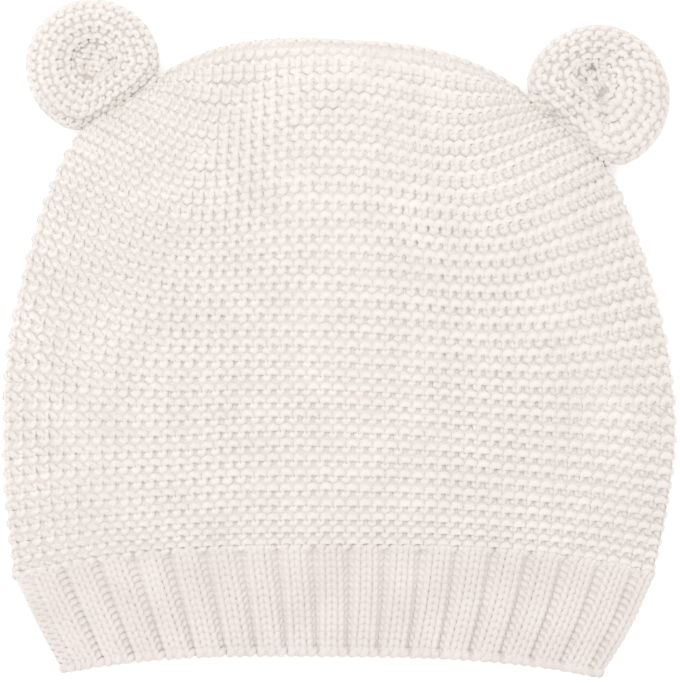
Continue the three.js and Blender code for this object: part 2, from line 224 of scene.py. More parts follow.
# Where an ear's puffed face ends in a lip over its back layer: a parabola's height on the page at
# its lowest point, how far right that is, how much it rises to the sides, how far the face drops
# beyond it, and the width over which it does.
LIPS = {"ear_left": dict(height=-0.72, middle=-0.14, rise=0.56, drop=0.3, width=0.16)}


def column(rows, name, at):
    """A column's value at a position: a cubic between two rows whose slopes are those of the
    chords through each row's neighbours, as in the solids."""
    keys = next(iter(rows.values()))
    values = rows[name]
    last = len(keys) - 1
    here = np.clip(np.searchsorted(keys[1:], at, side="left"), 0, last - 1)
    before = np.maximum(here - 1, 0)
    after = np.minimum(here + 2, last)
    span = keys[here + 1] - keys[here]
    t = (at - keys[here]) / span
    start = (values[here + 1] - values[before]) / (keys[here + 1] - keys[before]) * span
    end = (values[after] - values[here]) / (keys[after] - keys[here]) * span
    rise = values[here + 1] - values[here]
    bend = start + end - 2 * rise
    return values[here] + t * (start + t * (3 * rise - 2 * start - end + t * bend))


def ramp(value, start, length):
    """0 up to the start and 1 from one length beyond it, straight between them."""
    return np.clip((value - start) / length, 0, 1)


def round_off(share, exponent):
    """Share of a swelling reached at a distance from its rim: root of 1 - share to the exponent."""
    return np.sqrt(np.maximum(0, 1 - np.minimum(np.abs(share), 1) ** exponent))


def pouch_point(row, across, front, inset, closing):
    """Points of a knitted row on the lying pouch. across runs from -1 at the left fold to 1 at the
    right one; the front rises from the folds to the thickness, the back drops to the floor."""
    left = -row["left"] * HALF + inset
    right = row["right"] * HALF - inset
    x = (left + right) / 2 + across * (right - left) / 2
    level = (row["leftUp"] + row["rightUp"]) / 2
    tilt = (row["rightUp"] - row["leftUp"]) / 2
    place = np.abs(across) ** (np.log(0.5) / np.log(DIP_PLACE))
    dip = np.where(across < 0, row["leftDip"], row["rightDip"]) * np.sin(np.pi * place) ** 2
    y = level + tilt * across + (row["middleUp"] - level) * (1 - np.abs(across) ** ROW_ARCH) - dip
    fold = FOLD_LEVEL * row["full"]
    lift = (row["full"] - inset - fold) * round_off(across, FRONT_FULLNESS)
    beyond_flat = np.maximum(0, (np.abs(across) - FLAT_BACK) / (1 - FLAT_BACK))
    drop = (fold - inset) * round_off(beyond_flat, ROUND)
    z = fold + np.where(front, lift, -drop) * closing
    return np.stack(np.broadcast_arrays(x, y, z), axis=-1)


def crown_point(row, across, front, inset):
    """Points of the crown at rows from 0 at the band to 1 at the top seam, where it closes."""
    row = np.clip(row, 0, 1)
    rise = CROWN_RISE - inset
    scales = dict(left=1, right=1, leftUp=rise, rightUp=rise, middleUp=rise)
    scales.update(leftDip=CROWN_RISE, rightDip=CROWN_RISE, full=BODY_THICKNESS)
    values = {name: column(CROWN, name, row) * scale for name, scale in scales.items()}
    closing = round_off(np.maximum(0, (row - CLOSING_START) / (1 - CLOSING_START)), ROUND)
    return pouch_point(values, across, front, inset, closing)


def band_point(down, across, front, inset):
    """Points of the band from its top (down 0) to the hem (down 1), without its ribs."""
    middle = -SEAM_GAP - down * BAND_HEIGHT
    values = {
        "left": column(BAND, "left", down),
        "right": column(BAND, "right", down),
        "leftUp": middle - column(BAND, "leftDrop", down) * BAND_HEIGHT,
        "rightUp": middle - column(BAND, "rightDrop", down) * BAND_HEIGHT,
        "middleUp": middle,
        "leftDip": 0,
        "rightDip": 0,
        "full": column(BAND, "full", down) * BODY_THICKNESS,
    }
    return pouch_point(values, across, front, inset, 1)


# The solids' origin is under the middle of the hat: this shift brings the pouch to them.
SAMPLE = crown_point(np.linspace(0, 1, 400)[:, None], np.linspace(-1, 1, 41), True, 0.0).reshape(-1, 3)
CROWN_LOW, CROWN_HIGH = (np.array(corner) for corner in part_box("crown"))
SHIFT = (CROWN_LOW + CROWN_HIGH) / 2 - (SAMPLE.min(0) + SAMPLE.max(0)) / 2
SHIFT[2] = CROWN_LOW[2]


def grid_faces(rows, columns, closes_rows=False, closes_columns=False, first=0):
    """Quads of a grid of rows x columns points that lie row after row from the index first."""
    row = np.arange(rows if closes_rows else rows - 1)[:, None]
    col = np.arange(columns if closes_columns else columns - 1)[None, :]
    below = (row + 1) % rows
    beside = (col + 1) % columns
    corners = [row * columns + col, row * columns + beside, below * columns + beside, below * columns + col]
    return first + np.stack(corners, axis=-1).reshape(-1, 4)


def round_pouch(count, half):
    """A loop round the pouch from the left fold in equal angles: the place of each point across the
    pouch, whether it is on the front, and the number of the front's point over it."""
    step = np.arange(count)
    is_front = step <= half
    twin = np.where(is_front, step, 2 * half - step)
    return -np.cos(np.pi * twin / half)[None, :], is_front[None, :], twin


def loop_counts(quads, size):
    """Each corner's place round its loop, where a loop's last face ends at its size."""
    count = quads % size
    wrap = (count.max(axis=1) - count.min(axis=1) > size / 2)[:, None] & (count == 0)
    return count + wrap * size


def ring_caps(size, last, top):
    """Triangles from the first ring of points to the point top, and from the last to the next."""
    here = np.arange(size)
    beside = (here + 1) % size
    tip = top + 0 * here
    caps = [np.stack([tip, here, beside], 1), np.stack([tip + 1, last + beside, last + here], 1)]
    return np.concatenate(caps)


def make_piece(name, points, quads, triangles, coords, material):
    """A mesh object from arrays: its points, its faces and one pair of coords for each corner."""
    mesh = bpy.data.meshes.new(name)
    placed = points + SHIFT
    # nothing reaches below the floor
    placed[:, 2] = np.maximum(placed[:, 2], 0)
    corners = np.concatenate([quads.ravel(), triangles.ravel()]).astype(np.int32)
    sizes = np.concatenate([np.full(len(quads), 4), np.full(len(triangles), 3)])
    starts = np.concatenate([[0], np.cumsum(sizes)[:-1]]).astype(np.int32)
    mesh.vertices.add(len(points))
    mesh.vertices.foreach_set("co", placed.astype(np.float32).ravel())
    mesh.loops.add(len(corners))
    mesh.loops.foreach_set("vertex_index", corners)
    mesh.polygons.add(len(sizes))
    mesh.polygons.foreach_set("loop_start", starts)
    mesh.update(calc_edges=True)
    mesh.polygons.foreach_set("use_smooth", np.ones(len(sizes), bool))
    layer = mesh.uv_layers.new(name="along_and_round")
    layer.data.foreach_set("uv", coords.astype(np.float32).ravel())
    mesh.validate()
    mesh.materials.append(material)
    piece = bpy.data.objects.new(name, mesh)
    SCENE.collection.objects.link(piece)
    return piece


def unit(vectors):
    """Vectors of length one in the same directions."""
    return vectors / np.maximum(np.linalg.norm(vectors, axis=-1, keepdims=True), 1e-12)


def laid(surface, place, inset):
    """A path on a surface, and directions square out of the fabric: from points below the path to
    the path, less what runs towards points beside it on the surface."""
    path = surface(place, inset)
    out = path - surface(place, inset + BELOW)
    across = unit(path - surface(place - BESIDE, inset))
    return path[None], unit(out - np.sum(out * across, axis=-1, keepdims=True) * across)[None]


def bending(paths, closed):
    """How each path bends at each of its points: the change of its direction per metre, which is one
    over the radius of the bend, towards the middle of the bend."""
    after = np.roll(paths, -1, axis=1) - paths
    before = np.roll(after, 1, axis=1)
    if not closed:
        after[:, -1] = after[:, -2]
        before[:, 0] = after[:, 0]
    length = np.linalg.norm(after + before, axis=-1, keepdims=True) / 2
    return (unit(after) - unit(before)) / length


def yarn(paths, outward, radius, closed, widening=YARN_WIDENING, sides=YARN_SIDES):
    """Yarns along many paths at once: each section is the path's point plus the radius times
    (cosine of the turn x sideways x widening + sine of the turn x outwards), square to the path. So
    that it doesn't turn inside out on the inner side of a bend, its share of the bend's radius
    beyond INNER_SHARE is pressed to INNER_GIVE times a hyperbolic tangent. A closed path meets
    itself; an open one ends in two points. paths is count x steps x 3."""
    count, steps, _ = paths.shape
    if closed:
        along = unit(np.roll(paths, -1, axis=1) - np.roll(paths, 1, axis=1))
    else:
        along = unit(np.gradient(paths, axis=1))
    sideways = unit(np.cross(along, outward))
    upwards = np.cross(sideways, along)
    turn = np.arange(sides) * 2 * np.pi / sides
    widening = np.broadcast_to(widening, (count, steps))[:, :, None, None]
    across = widening * np.cos(turn)[:, None] * sideways[:, :, None]
    ring = across + np.sin(turn)[:, None] * upwards[:, :, None]
    radius = np.broadcast_to(radius, (count, steps))[:, :, None, None]
    bend = bending(paths, closed)[:, :, None]
    share = np.sum(radius * ring * bend, axis=-1, keepdims=True)
    sharpness = np.maximum(np.sum(bend**2, axis=-1, keepdims=True), 1.0)
    over = np.maximum(share - INNER_SHARE, 0)
    pressed = (over - INNER_GIVE * np.tanh(over / INNER_GIVE)) * bend / sharpness
    body = (paths[:, :, None] + radius * ring - pressed).reshape(count, steps * sides, 3)
    quads = grid_faces(steps, sides, closed, True)[:, ::-1]
    length = np.linalg.norm(np.diff(paths, axis=1), axis=-1).mean()
    step, side = np.divmod(np.arange(len(quads)), sides)
    u = np.stack([step, step + 1, step + 1, step], axis=1)
    v = np.stack([side + 1, side + 1, side, side], axis=1) / sides
    coords = np.stack([u * length, v], axis=-1)
    triangles = np.zeros((0, 3), int)
    if not closed:
        tip = radius[:, :, 0] * along
        ends = [paths[:, :1] - tip[:, :1], paths[:, -1:] + tip[:, -1:]]
        body = np.concatenate([body] + ends, axis=1)
        triangles = ring_caps(sides, (steps - 1) * sides, steps * sides)
    offset = (np.arange(count) * body.shape[1])[:, None, None]
    quads = (quads[None] + offset).reshape(-1, 4)
    triangles = (triangles[None] + offset).reshape(-1, 3)
    coords = np.tile(coords.reshape(-1, 2), (count, 1))
    return body.reshape(-1, 3), quads, triangles, coords, np.zeros((triangles.size, 2))


def join(*parts):
    """Sets of yarns as one: their faces are counted on from the points before them."""
    first = np.cumsum([0] + [len(part[0]) for part in parts[:-1]])
    points = np.concatenate([part[0] for part in parts])
    quads = np.concatenate([part[1] + at for part, at in zip(parts, first)])
    triangles = np.concatenate([part[2] + at for part, at in zip(parts, first)])
    coords = np.concatenate([part[3] for part in parts] + [part[4] for part in parts])
    return points, quads, triangles, coords


def uneven(seed, count, steps):
    """Smooth random numbers from -1 to 1 round a yarn: as many as the count, and a cosine between
    one and the next."""
    values = np.random.default_rng(seed).uniform(-1, 1, count + 1)
    values[-1] = values[0]
    at = np.linspace(0, count, steps, endpoint=False)
    here = np.minimum(at.astype(int), count - 1)
    share = (1 - np.cos(np.pi * (at - here))) / 2
    return values[here] * (1 - share) + values[here + 1] * share


# Materials


class Socket:
    """A node's output that + and * work on: each adds a Math node."""

    def __init__(self, finish, link):
        self.finish = finish
        self.link = link

    def math(self, operation, *others):
        inputs = dict(enumerate((self, *others)))
        return self.finish.node("ShaderNodeMath", {"operation": operation}, inputs)

    def __add__(self, other):
        return self.math("ADD", other)

    def __mul__(self, other):
        return self.math("MULTIPLY", other)

    def sine(self):
        return self.math("SINE")


class Finish:
    """A material of one Principled shader. node() adds any node: its type, its settings and the
    values or links of its sockets; it gives the output asked for."""

    def __init__(self, name, roughness, sheen):
        self.material = bpy.data.materials.new(name)
        self.material.use_nodes = True
        self.tree = self.material.node_tree
        self.shader = self.tree.nodes["Principled BSDF"]
        self.shader.inputs["Roughness"].default_value = roughness
        self.shader.inputs["Sheen Weight"].default_value = sheen
        self.shader.inputs["Specular IOR Level"].default_value = 0.25

    def node(self, kind, settings, inputs, output=0):
        made = self.tree.nodes.new(kind)
        for name, value in settings.items():
            setattr(made, name, value)
        for name, value in inputs.items():
            if isinstance(value, Socket):
                self.tree.links.new(value.link, made.inputs[name])
            else:
                made.inputs[name].default_value = value
        return Socket(self, made.outputs[output])

    def noise(self, scale, detail):
        place = self.node("ShaderNodeTexCoord", {}, {}, "Object")
        return self.node("ShaderNodeTexNoise", {}, {"Vector": place, "Scale": scale, "Detail": detail})

    def coords(self):
        pair = self.node("ShaderNodeUVMap", {"uv_map": "along_and_round"}, {})
        return [self.node("ShaderNodeSeparateXYZ", {}, {0: pair}, axis) for axis in (0, 1)]

    def colour(self, share, *stops):
        """A colour between two stops, each a share and its colour."""
        made = self.node("ShaderNodeValToRGB", {}, {0: share})
        for element, (place, colour) in zip(made.link.node.color_ramp.elements, stops):
            element.position = place
            element.color = (*colour, 1)
        self.tree.links.new(made.link, self.shader.inputs["Base Color"])

    def bump(self, height, strength, distance):
        inputs = {"Height": height, "Strength": strength, "Distance": distance}
        made = self.node("ShaderNodeBump", {}, inputs)
        self.tree.links.new(made.link, self.shader.inputs["Normal"])


def linear(red, green, blue):
    """A colour seen on a screen, from 0 to 255, as the light that it stands for."""
    seen = np.array([red, green, blue]) / 255
    return tuple(np.where(seen <= 0.04045, seen / 12.92, ((seen + 0.055) / 1.055) ** 2.4))


def yarn_finish(name, light, dark):
    """Soft cotton yarn: two plies twisted round each other, fine fibres along them, and a colour
    that drifts a little from place to place."""
    finish = Finish(name, roughness=0.9, sheen=0.8)
    share = finish.noise(90.0, 3.0) * 0.7 + finish.noise(1500.0, 2.0) * 0.3
    finish.colour(share, (0.3, dark), (0.66, light))
    along, round_it = finish.coords()
    ply_length = 0.0021
    twist = (along * (2 * np.pi / ply_length) + round_it * (4 * np.pi)).sine()
    finish.bump(twist * 0.35 + finish.noise(3200.0, 2.0) * 0.65, strength=0.35, distance=0.0002)
    return finish.material


def cloth_finish(name, light, dark):
    """The knitted ground between the ridges: rows of small stitches seen deep in the fabric. It gets
    colours a little darker and pinker than the yarn's, as painted shade in the holes.
    """
    finish = Finish(name, roughness=0.95, sheen=0.4)
    fibres = finish.noise(1800.0, 3.0)
    finish.colour(fibres, (0.35, dark), (0.7, light))
    wales, rounds = ((coord * (2 * np.pi)).sine() for coord in finish.coords())
    finish.bump(wales * rounds * 0.5 + fibres * 0.5, strength=0.6, distance=0.0006)
    return finish.material


BODY_YARN = yarn_finish("body_yarn", linear(243, 237, 232), linear(235, 228, 223))
BAND_YARN = yarn_finish("band_yarn", linear(239, 231, 227), linear(230, 221, 217))
# painted shade: the ground is a little darker and pinker than the yarn, so that the holes between the
# stitches look shaded
GROUND_PAINTED_SHADE = cloth_finish("knitted_ground_painted_shade", linear(238, 231, 227), linear(229, 220, 215))


# The crown


def ground_inset(ridges, wave=GROUND_WAVE):
    """Depth of the cloth at a height counted in ridges: a cosine that is deepest a little above the
    lower bows, where the holes are, and shallowest half a ridge away."""
    return GROUND_DEPTH + wave * np.cos(2 * np.pi * (ridges - HOLE_LEVEL))


def edge_stitches(row, side):
    """Stitches from the middle line to a fold, in halves: fewer where the rows grow so short that
    their stitches would crowd."""
    crowding = 1.3
    half = column(CROWN, side, row) * HALF
    wanted = np.floor(2 * (crowding * half / STITCH + 0.5)) / 2
    return float(np.minimum(STITCHES_ACROSS / 2 + 0.5, wanted))


def stitch_across(stitch, row, edges):
    """Where a stitch lies across its row, from -1 to 1. Stitches counted from the middle line keep
    one pitch there and crowd towards the folds: g(t) = s t - (s - 1) t to the power 2.5, where s is
    the pitch over the mean pitch. The last stitch turns over the fold by equal angles."""
    halves = [column(CROWN, name, row) * HALF for name in ("left", "right")]
    half = np.where(stitch < 0, halves[0], halves[1])
    edge = np.where(stitch < 0, edges[0], edges[1])
    reach = np.abs(stitch)
    crowd = 2.5

    def share(count):
        t = count / (edge - 0.5)
        s = STITCH * (edge - 0.5) / half
        return s * t - (s - 1) * t**crowd

    turn = np.arccos(np.clip(share(edge - 1), -1, 1))
    over = np.cos(np.clip(edge - reach, 0, 1) * turn)
    x = np.sign(stitch) * half * np.where(reach > edge - 1, over, share(np.minimum(reach, edge - 1)))
    middle = (halves[1] - halves[0]) / 2
    return np.clip((x - middle) / ((halves[0] + halves[1]) / 2), -1, 1)


def filling(spread, turn):
    """Widening of a garter yarn. It grows within limits where the rows lie spread apart, so that
    the bows still fill the row, and is less at the feet, by the sine squared of the turn, so that
    the holes between them stay open."""
    swollen = YARN_WIDENING * np.clip(spread / ROW_FILLED, *SWELLING)
    return swollen * (1 - FOOT_NARROWING * np.sin(turn) ** 2)


def bowed(turn):
    """Height of a garter yarn over its stitch, as a share of a ridge: a cosine times a power of its
    size, which makes the bows round."""
    return BOW_HEIGHT * np.cos(turn) * np.abs(np.cos(turn)) ** BOW_POWER


def looped(turn):
    """How far a garter yarn runs ahead along its row, in stitches, by the sine of twice the turn and
    the sine of the turn: it hurries over both bows, more over the upper ones, and turns back between
    them, so that each bow overhangs its foot."""
    return OVERHANG * np.sin(2 * turn) / (4 * np.pi) + UPPER_BOWS * np.sin(turn) / (2 * np.pi)


def sunken(turn, foot_depth=FOOT_DEPTH):
    """Depth of a garter yarn's centre line: at the upper bows it touches the surface, the lower ones
    lie a little deeper, and the feet between them sink by the fourth power of the turn's sine."""
    return YARN + 0.0001 * (1 - np.cos(turn)) + foot_depth * np.sin(turn) ** 4


def ridge_way(row, across, is_front):
    """The way up over one ridge, on the crown's surface."""
    start, end = (crown_point(row + side * RIDGE_STEP, across, is_front, YARN) for side in (-0.5, 0.5))
    return end - start


def leaning(count, row, edges, is_front):
    """How many stitches the crown's rise drifts along a row over one ridge: the part of the ridge's
    way that runs along a stitch, over the stitch. Bows less this stand square to their row."""
    rise = ridge_way(row, stitch_across(count, row, edges), is_front)
    counts = [np.clip(count + side, -edges[0], edges[1]) for side in (-0.5, 0.5)]
    start, end = (crown_point(row, stitch_across(at, row, edges), is_front, YARN) for at in counts)
    stitch = end - start
    drift = np.sum(rise * stitch, axis=-1) / np.maximum(np.sum(stitch**2, axis=-1), 1e-9)
    most = 0.8
    return np.clip(drift, -most, most)


def garter_ridge(ridge):
    """The yarn of one ridge, once round the hat. Its height in the row follows the cosine of the
    stitch count, so that it bows up over each stitch and down between two, square to the row and
    further where the ridges lie spread apart; along the row it hurries over the bows, and it dips
    into the fabric on its way from one bow to the other."""
    row = (ridge + RIDGE_MIDDLE) * RIDGE_STEP
    edges = [edge_stitches(row, side) for side in ("left", "right")]
    stitches = edges[0] + edges[1]
    front = -edges[0] + np.arange(int(stitches * STITCH_POINTS)) / STITCH_POINTS
    back = edges[1] - np.arange(int(stitches * BACK_POINTS)) / BACK_POINTS
    count = np.concatenate([front, back])
    is_front = np.arange(len(count)) < len(front)
    turn = 2 * np.pi * count
    seed = ridge * 10
    steps = len(count)
    drift = uneven(seed + 1, int(stitches), steps)
    size = 1 + UNEVEN["bows"] * uneven(seed + 2, int(stitches * 2), steps)
    slack = uneven(seed + 3, int(stitches * 2), steps)
    place = count + looped(turn) - leaning(count, row, edges, is_front) * size * bowed(turn)
    place = np.clip(place + UNEVEN["places"] * slack, -edges[0], edges[1])
    across = stitch_across(place, row, edges)
    spread = np.linalg.norm(ridge_way(row, across, is_front), axis=-1)
    size = size * (1 + BOW_GROWTH * np.clip(spread / ROW_FILLED - 1, 0, 0.5))
    rows = row + RIDGE_STEP * (size * bowed(turn) + UNEVEN["rows"] * drift)
    inset = sunken(turn) + 0.0001 * (1 + slack)
    radius = YARN * (1 + UNEVEN["radius"] * drift)
    path, outward = laid(lambda at, depth: crown_point(at, across, is_front, depth), rows, inset)
    return yarn(path, outward, radius[None], True, filling(spread, turn)[None])


def crown_cloth():
    """The ground of the crown as one closed shell: an outer skin under the ridges and an inner one,
    each a loop round the pouch carried from the band to the top seam, and a rim at the band. It
    lies shallower at the top seam and towards the folds, and loses its wave near the top."""
    half_points = 60
    ridge_levels = 6
    levels = RIDGE_COUNT * ridge_levels
    size = 2 * half_points
    across, is_front, twin = round_pouch(size, half_points)
    rows = np.linspace(0, 1, levels + 1)[:, None]
    at_seam = ramp(rows, 0.965, 0.03)
    at_side = ramp(np.abs(across), 0.5, 0.3)
    wave = GROUND_WAVE * (1 - ramp(rows, 0.7, 0.15))
    depth = ground_inset(rows / RIDGE_STEP, wave) * (1 - 0.5 * at_seam) * (1 - 0.18 * at_side)
    outer = crown_point(rows, across, is_front, depth)
    inner = crown_point(rows, across, is_front, WALL)
    points = np.concatenate([outer.reshape(-1, 3), inner.reshape(-1, 3)])
    first = (levels + 1) * size
    index = np.arange(len(points))
    # at the top seam the back's points are the front's
    for start in (levels * size, first + levels * size):
        index[start : start + size] = start + twin
    outside = grid_faces(levels + 1, size, False, True)
    inside = grid_faces(levels + 1, size, False, True, first)[:, ::-1]
    step = np.arange(size)
    rim = np.stack([step, (step + 1) % size, first + (step + 1) % size, first + step], 1)[:, ::-1]
    quads = np.concatenate([outside, inside, rim])
    stitch = loop_counts(quads, size) / size * 2 * STITCHES_ACROSS
    coords = np.stack([stitch, (quads % first) // size / ridge_levels], axis=-1)
    return points, index[quads], np.zeros((0, 3), int), coords.reshape(-1, 2)


def top_edge():
    """The yarn that closes the top: it runs along the seam and winds a little from the front to the
    back, by a cosine of the stitch count over the ellipse in which the crown closes."""
    count = np.linspace(0, TOP_EDGE_STITCHES, TOP_EDGE_STITCHES * STITCH_POINTS + 1)
    phase = 2 * np.pi * count
    share = np.clip((count + 0.5 * looped(phase)) / TOP_EDGE_STITCHES, 0, 1)
    across = share * (2 * TOP_EDGE_REACH) - TOP_EDGE_REACH
    turn = np.radians(TOP_EDGE_TURN) * np.cos(phase)
    rows = CLOSING_START + (1 - CLOSING_START) * np.cos(turn)
    inset = YARN * 0.8
    path = crown_point(rows, across, turn < 0, inset)
    lower = crown_point(rows, across, turn < 0, inset + BELOW)
    return yarn(path[None], unit(path - lower)[None], YARN, False, widening=1.3)


def make_crown():
    cloth = make_piece("crown_cloth", *crown_cloth(), GROUND_PAINTED_SHADE)
    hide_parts("crown")
    pieces = [cloth]
    groups = [range(0, 9), range(9, 17), range(17, 25), range(25, RIDGE_COUNT)]
    for number, ridges in enumerate(groups, 1):
        yarns = join(*[garter_ridge(ridge) for ridge in ridges])
        pieces.append(make_piece(f"crown_ridges_{number}", *yarns, BODY_YARN))
    pieces.append(make_piece("crown_top_edge", *join(top_edge()), BODY_YARN))
    for piece in pieces:
        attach(piece, "root")


# The band


class BandMap:
    """The band's surface as a grid worked out once: equal steps along each loop from the first
    trough, for many heights. at() reads it between its points in straight lines."""

    levels = 48
    steps = RIB_COUNT * 24
    margin = 0.04  # of the band's height, above its top and below its hem

    def __init__(self):
        down = np.linspace(-self.margin, 1 + self.margin, self.levels)[:, None]
        half_points = 400
        across, is_front, _ = round_pouch(2 * half_points + 1, half_points)
        loop = band_point(down, across, is_front, 0.0)
        gone = np.linalg.norm(np.diff(loop, axis=1), axis=-1)
        gone = np.concatenate([np.zeros((self.levels, 1)), np.cumsum(gone, axis=1)], axis=1)
        wanted = np.arange(self.steps) / self.steps
        self.outer = self.even(loop, gone, wanted)
        self.inner = self.even(band_point(down, across, is_front, WALL), gone, wanted)

    def even(self, loop, gone, wanted):
        """Points at wanted shares of each loop, from its first trough."""
        made = np.zeros((self.levels, self.steps, 3))
        for level in range(self.levels):
            total = gone[level, -1]
            at = (TROUGH_FROM_FOLD + wanted * total) % total
            for axis in range(3):
                made[level, :, axis] = np.interp(at, gone[level], loop[level, :, axis])
        return made

    def at(self, down, rib, inset):
        """Points at a height, a rib's number with its phase, and a depth below the rib's crest."""
        share = (down + self.margin) / (1 + 2 * self.margin)
        level = np.clip(share * (self.levels - 1), 0, self.levels - 1.001)
        place = (rib / RIB_COUNT * self.steps) % self.steps
        low, left = np.floor(level).astype(int), np.floor(place).astype(int) % self.steps
        right = (left + 1) % self.steps
        v, u = (level - low)[..., None], (place - np.floor(place))[..., None]
        skins = []
        for grid in (self.outer, self.inner):
            near = grid[low, left] * (1 - u) + grid[low, right] * u
            far = grid[low + 1, left] * (1 - u) + grid[low + 1, right] * u
            skins.append(near * (1 - v) + far * v)
        depth = (inset + RIB_DEPTH * np.interp(rib % 1, RIB["phase"], RIB["depth"]))[..., None]
        return skins[0] + (skins[1] - skins[0]) * depth / WALL


def drawn(phase, rise):
    """A place across a rib moved towards its middle: the furrows gape under the crown and close
    towards the hem."""
    return 0.5 + (phase - 0.5) * (1.02 - 0.2 * rise)


def band_yarn(bands, rise, rib, inset, radius, closed=False, sides=YARN_SIDES):
    """Yarns on the band from arrays of count x steps; rise is the height above the hem."""
    path = bands.at(1 - rise, rib, inset)
    lower = bands.at(1 - rise, rib, inset + BELOW)
    return yarn(path, unit(path - lower), radius, closed, sides=sides)


def band_stitches(bands):
    """The stitches of the rib. A knit stitch is two legs that lean out from the wale's middle as
    they rise and tuck under the next stitch; a purl stitch is a low bow across the trough. The last
    rib's second wale is left out, because it lies round the left fold: two more columns of purl
    stitches are there. A tuck is the sine of the way along a leg or bow."""
    rng = np.random.default_rng(11)
    t = np.linspace(0, 1, 7)[None, :]
    tuck = np.sin(np.pi * t)
    start, length = 0.02, 1.5  # of a leg, in rounds of knitting
    apart, lean, bulge = 0.035, 0.095, 0.02  # of a stitch's legs, as shares of a rib
    parts = []
    for wale, side in ((WALES[0], -1), (WALES[0], 1), (WALES[1], -1), (WALES[1], 1)):
        ribs = np.arange(RIB_COUNT if wale == WALES[0] else RIB_COUNT - 1)
        rib, row = (a.ravel()[:, None] for a in np.meshgrid(ribs, np.arange(BAND_ROUNDS)))
        slack = rng.uniform(-1, 1, rib.shape)
        rise = (row + start + length * t + 0.06 * slack) / BAND_ROUNDS
        phase = wale + side * (apart + lean * t + bulge * tuck) + 0.008 * slack
        inset = YARN + 0.0007 * (1 - tuck) + 0.00008 * slack
        radius = YARN * 0.88 * (0.55 + 0.45 * tuck**0.6)
        phase = drawn(phase, rise)
        parts.append(band_yarn(bands, rise, rib + phase, inset, radius))
    rib, row = (a.ravel()[:, None] for a in np.meshgrid(np.arange(RIB_COUNT), np.arange(BAND_ROUNDS)))
    slack = rng.uniform(-1, 1, rib.shape)
    rise = (row + 0.4 + 0.45 * tuck + 0.1 * slack) / BAND_ROUNDS
    reach = 0.16  # of a bow from the trough, as a share of a rib
    phase = (drawn(reach, rise) + 0.015) * (2 * t - 1) + 0.01 * slack
    inset = YARN * 1.5 + 0.0003 * (1 - tuck) + 0 * rise
    radius = YARN * 0.85
    purls = [band_yarn(bands, rise, rib + phase, inset, radius)]
    at_fold = rib[:, 0] == 0
    for beside, raised in zip(FOLD_FURROW, (0.5 / BAND_ROUNDS, 0)):
        place = (phase - beside)[at_fold]
        purls.append(band_yarn(bands, (rise + raised)[at_fold], place, inset[at_fold], radius))
    return join(*parts), join(*purls)


def band_round(bands, rows_up, inset):
    """A yarn that winds once round the band, one turn for each stitch: the cast-on edge along the
    hem, or the round that joins the band to the crown."""
    rib_points = 30
    steps = RIB_COUNT * rib_points
    rib = np.arange(steps)[None, :] / steps * RIB_COUNT
    turn = rib * 2 * np.pi * RIB_STITCHES
    rise = (rows_up + 0.25 * np.cos(turn)) / BAND_ROUNDS
    inset = inset + 0.0005 * np.sin(turn)
    return band_yarn(bands, rise, rib, inset, YARN, closed=True, sides=7)


def band_cloth(bands):
    """The ground of the band: a closed ring whose outer skin lies under the stitches, from just
    over the band's top to just above the hem."""
    levels = 30
    rib_points = 8
    steps = RIB_COUNT * rib_points
    rib = (np.arange(steps) / rib_points)[None, :]
    down = np.linspace(-0.035, 0.985, levels)[:, None]
    depth = BAND_GROUND[0] - BAND_GROUND[1] * np.cos(2 * np.pi * rib)
    outer = bands.at(down, rib, depth)
    depth = RIB_DEPTH * np.interp(rib % 1, RIB["phase"], RIB["depth"])
    inner = bands.at(down[::-1], rib, WALL - depth)
    points = np.concatenate([outer, inner]).reshape(-1, 3)
    quads = grid_faces(2 * levels, steps, True, True)[:, ::-1]
    stitch = loop_counts(quads, steps) / rib_points * RIB_STITCHES
    coords = np.stack([stitch, quads // steps / 2], axis=-1)
    return points, quads, np.zeros((0, 3), int), coords.reshape(-1, 2)


def make_band():
    bands = BandMap()
    cloth = make_piece("band_cloth", *band_cloth(bands), GROUND_PAINTED_SHADE)
    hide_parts("rib_band")
    knit, purl = band_stitches(bands)
    ribs = make_piece("band_knit_ribs", *knit, BAND_YARN)
    furrows = make_piece("band_purl_furrows", *purl, BAND_YARN)
    edge = make_piece("band_cast_on_edge", *join(band_round(bands, *CAST_ON)), BAND_YARN)
    joining = make_piece("band_joining_round", *join(band_round(bands, *JOINING)), BAND_YARN)
    for piece in (cloth, ribs, furrows, edge, joining):
        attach(piece, "root")


# The ears


def page_grooves(page, grooves):
    """Depth of the deepest groove at each point of the page: a bell curve of the distance to the
    nearest of the groove's stretches."""
    deepest = np.zeros(page.shape[:-1])
    for depth, line in grooves:
        ends = np.array(line)
        near = np.full(page.shape[:-1], np.inf)
        for start, end in zip(ends[:-1], ends[1:]):
            way = end - start
            share = np.clip(((page - start) @ way) / (way @ way), 0, 1)
            near = np.minimum(near, np.linalg.norm(page - start - share[..., None] * way, axis=-1))
        deepest = np.maximum(deepest, depth * np.exp(-((near / GROOVE_WIDTH) ** 2)))
    return deepest


